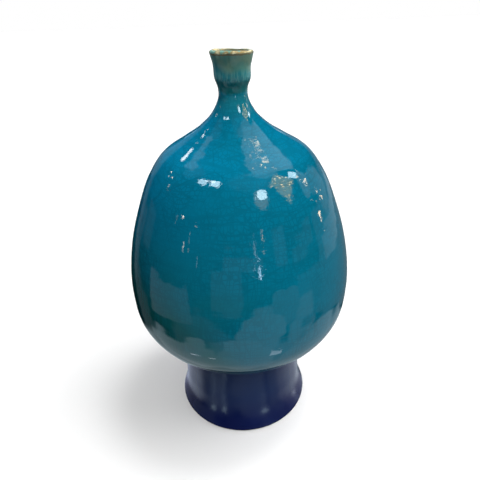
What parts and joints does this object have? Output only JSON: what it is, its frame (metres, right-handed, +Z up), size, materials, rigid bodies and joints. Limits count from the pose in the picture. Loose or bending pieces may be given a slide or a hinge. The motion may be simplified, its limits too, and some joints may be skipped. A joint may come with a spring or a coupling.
{
  "type": "bud vase",
  "caption": "Hollow pear-shaped ceramic bud vase with a flared pedestal foot, a narrow throat and a small cup mouth.",
  "frame": {"origin": "centre of the circle on which the foot ring rests, at floor level", "axes": "+Z up along the axis the vase was turned on, towards the mouth; X and Y are alike"},
  "size_m": [0.1456, 0.1456, 0.25],
  "materials": {
    "bare_clay": "matte bisque, trimmed",
    "joint_slip": "matte fired slip",
    "cobalt_glaze": "satin cobalt glaze",
    "turquoise_glaze": "glossy crackled turquoise glaze",
    "cup_glaze": "thin glossy glaze that breaks brown on the lip",
    "liner_glaze": "glossy liner glaze"
  },
  "bodies": {
    "root": {"foot": "bare_clay", "foot_slip": "joint_slip", "bulb": "bare_clay", "neck_slip": "joint_slip", "neck_cup": "bare_clay", "cobalt_glaze": "cobalt_glaze", "turquoise_glaze": "turquoise_glaze", "cup_glaze": "cup_glaze", "liner_glaze": "liner_glaze"}
  },
  "joints": []
}
